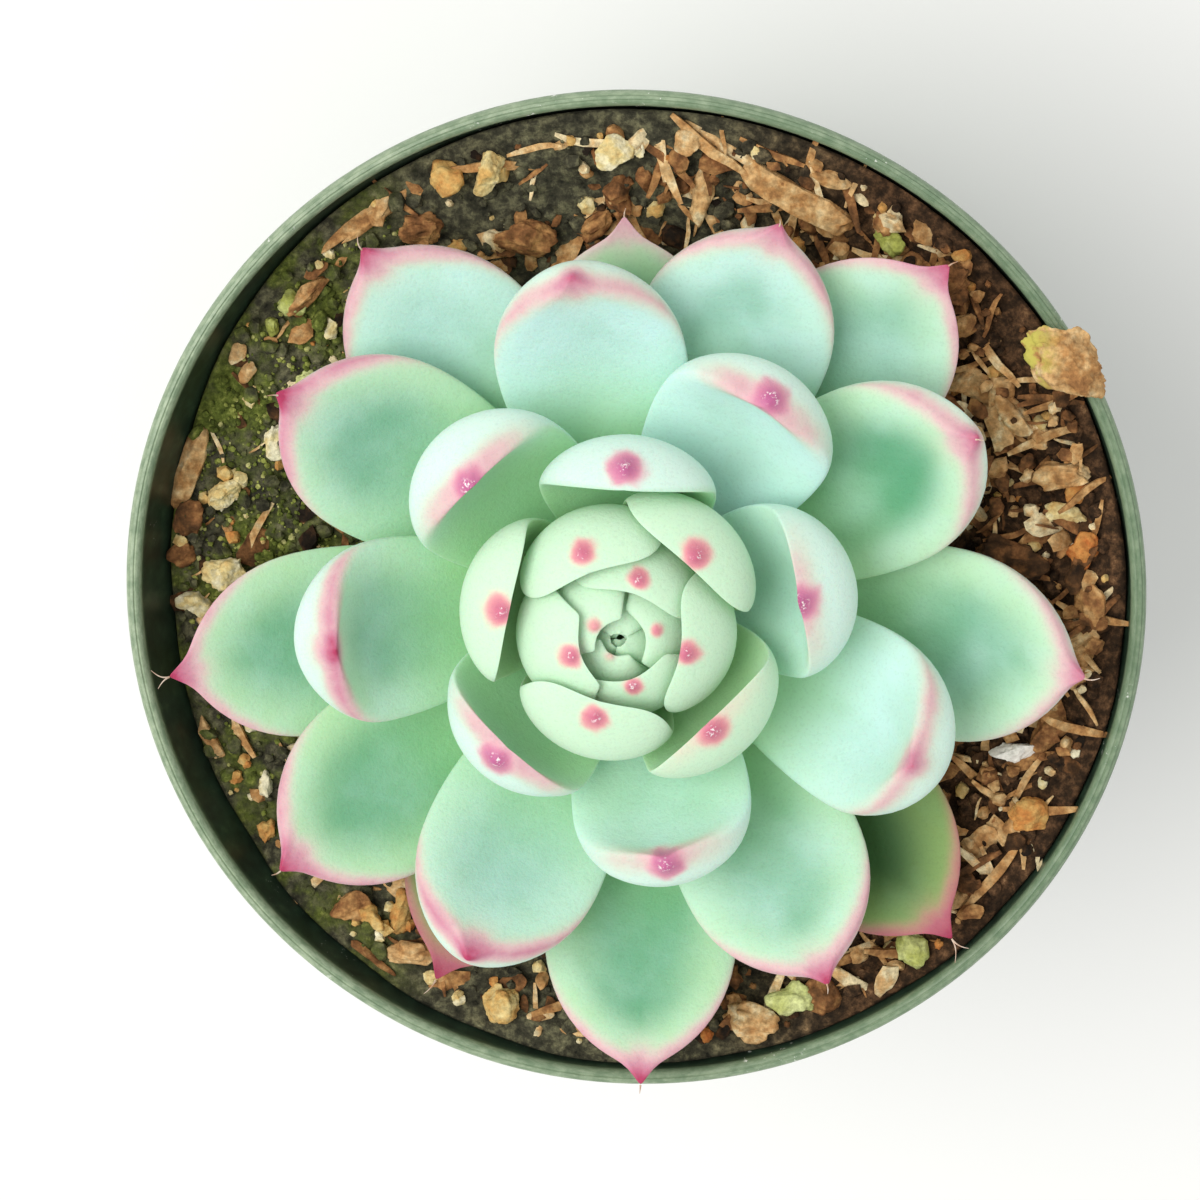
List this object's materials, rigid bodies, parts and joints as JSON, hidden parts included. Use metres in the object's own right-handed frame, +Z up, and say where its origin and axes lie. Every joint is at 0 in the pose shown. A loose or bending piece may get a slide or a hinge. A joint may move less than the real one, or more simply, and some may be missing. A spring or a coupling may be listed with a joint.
{
  "type": "potted rosette succulent",
  "caption": "Rosette succulent with fleshy pink-tipped leaves in a spiral, rooted in a bark and pumice mix in a round green nursery pot.",
  "frame": {"origin": "centre of the pot's foot, on the surface that the pot stands on", "axes": "+Z up the pot's axis, +X towards the side where the soil lies highest, under the bark chunk on the rim"},
  "size_m": [0.1046, 0.1046, 0.1076],
  "materials": {
    "pot_plastic": "sage green polypropylene, satin, with a paler worn lip",
    "soil": "damp dark potting soil with green algae on one side",
    "stem": "short fleshy stem, hidden by the leaves",
    "leaf_old": "older leaf without much wax, dark green with a crimson edge",
    "leaf_grown": "matte mint leaf under pale wax, pink towards the margin and tip",
    "leaf_young": "pale green young leaf with a coral dot below its tip",
    "bark": "rough composted bark",
    "pumice": "porous cream to orange pumice",
    "perlite": "white porous perlite"
  },
  "bodies": {
    "root": {"pot": "pot_plastic", "soil": "soil", "stem": "stem", "leaf_01": "leaf_old", "leaf_02": "leaf_old", "leaf_03": "leaf_old", "leaf_04": "leaf_grown", "leaf_05": "leaf_grown", "leaf_06": "leaf_grown", "leaf_07": "leaf_grown", "leaf_08": "leaf_grown", "leaf_09": "leaf_grown", "leaf_10": "leaf_grown", "leaf_11": "leaf_grown", "leaf_12": "leaf_grown", "leaf_13": "leaf_grown", "leaf_14": "leaf_grown", "leaf_15": "leaf_grown", "leaf_16": "leaf_grown", "leaf_17": "leaf_grown", "leaf_18": "leaf_grown", "leaf_19": "leaf_grown", "leaf_20": "leaf_grown", "leaf_21": "leaf_grown", "leaf_22": "leaf_grown", "leaf_23": "leaf_grown", "leaf_24": "leaf_young", "leaf_25": "leaf_young", "leaf_26": "leaf_young", "leaf_27": "leaf_young", "leaf_28": "leaf_young", "leaf_29": "leaf_young", "leaf_30": "leaf_young", "leaf_31": "leaf_young", "leaf_32": "leaf_young", "leaf_33": "leaf_young", "leaf_34": "leaf_young", "leaf_35": "leaf_young", "leaf_36": "leaf_young", "leaf_37": "leaf_young", "leaf_38": "leaf_young", "bark_chunk_on_rim": "bark", "bark_lump_northeast": "bark", "bark_lump_red": "bark", "bark_strip_long": "bark", "bark_stick_north": "bark", "bark_lump_north": "bark", "bark_lump_northwest": "bark", "bark_strip_west": "bark", "bark_piece_southwest": "bark", "bark_fibrous_east": "bark", "bark_almond_east": "bark", "bark_chip_east": "bark", "pumice_block_west": "pumice", "pumice_lump_west": "pumice", "pumice_heart_north": "pumice", "pumice_lump_south": "pumice", "pumice_north": "pumice", "pumice_orange_east": "pumice", "perlite_kidney_east": "perlite"}
  },
  "joints": []
}
